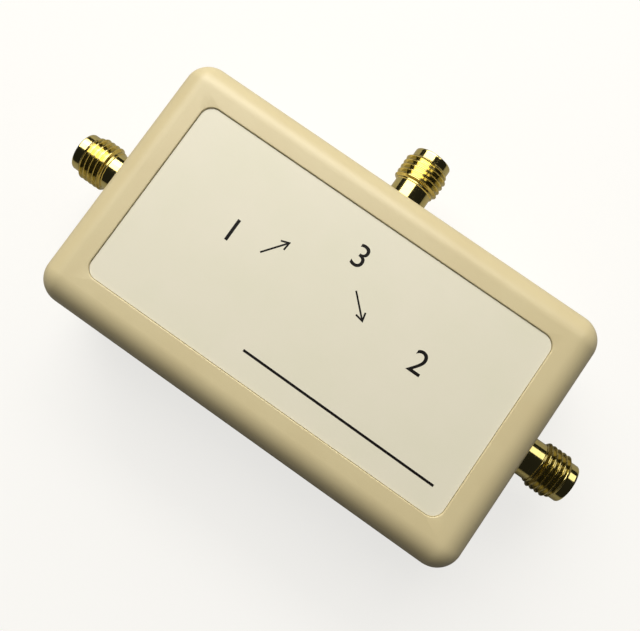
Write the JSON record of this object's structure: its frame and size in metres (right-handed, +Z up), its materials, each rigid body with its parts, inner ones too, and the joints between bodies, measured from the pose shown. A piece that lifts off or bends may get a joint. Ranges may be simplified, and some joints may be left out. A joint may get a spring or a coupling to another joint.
{
  "type": "swr bridge",
  "caption": "Small moulded case with threaded coaxial jacks at its ends and side, holding a resistive bridge and a ferrite-loaded balun for measuring reflections.",
  "frame": {"origin": "middle of the flat underside of the case", "axes": "+X along the case from the input jack to the output jack, +Y out of the test port, +Z up through the label"},
  "size_m": [0.0764, 0.0432, 0.02],
  "materials": {
    "shell": "cream moulded ABS, fine spark-eroded texture",
    "label_plate": "satin printed film",
    "gold_plate": "gold-plated turned brass",
    "dielectric": "white PTFE",
    "screw_steel": "zinc-plated steel",
    "board": "glass-epoxy laminate under green solder mask",
    "ferrite": "tumbled sintered ferrite",
    "tinned_copper": "tinned copper shield",
    "chip_ceramic": "chip resistor under black glass"
  },
  "bodies": {
    "case": {"bottom_case": "shell", "circuit_board": "board", "input_jack_body": "gold_plate", "input_jack_insulator": "dielectric", "input_jack_contact": "gold_plate", "output_jack_body": "gold_plate", "output_jack_insulator": "dielectric", "output_jack_contact": "gold_plate", "test_port_jack_body": "gold_plate", "test_port_jack_insulator": "dielectric", "test_port_jack_contact": "gold_plate", "case_screw_1": "screw_steel", "case_screw_2": "screw_steel", "case_screw_3": "screw_steel", "case_screw_4": "screw_steel", "board_screw_1": "screw_steel", "board_screw_2": "screw_steel", "measuring_line": "tinned_copper", "measuring_bead_1": "ferrite", "measuring_bead_2": "ferrite", "measuring_bead_3": "ferrite", "measuring_bead_4": "ferrite", "balancing_line": "tinned_copper", "balancing_bead_1": "ferrite", "balancing_bead_2": "ferrite", "balancing_bead_3": "ferrite", "balancing_bead_4": "ferrite", "arm_resistor_test": "chip_ceramic", "arm_resistor_reference": "chip_ceramic", "reference_resistor_a": "chip_ceramic", "reference_resistor_b": "chip_ceramic"},
    "cover": {"top_cover": "shell", "label": "label_plate"}
  },
  "joints": [
    {"name": "cover_lift", "type": "slide", "parent": "case", "child": "cover", "axis": [0, 0, 1], "range_m": [0, 0.03]}
  ]
}
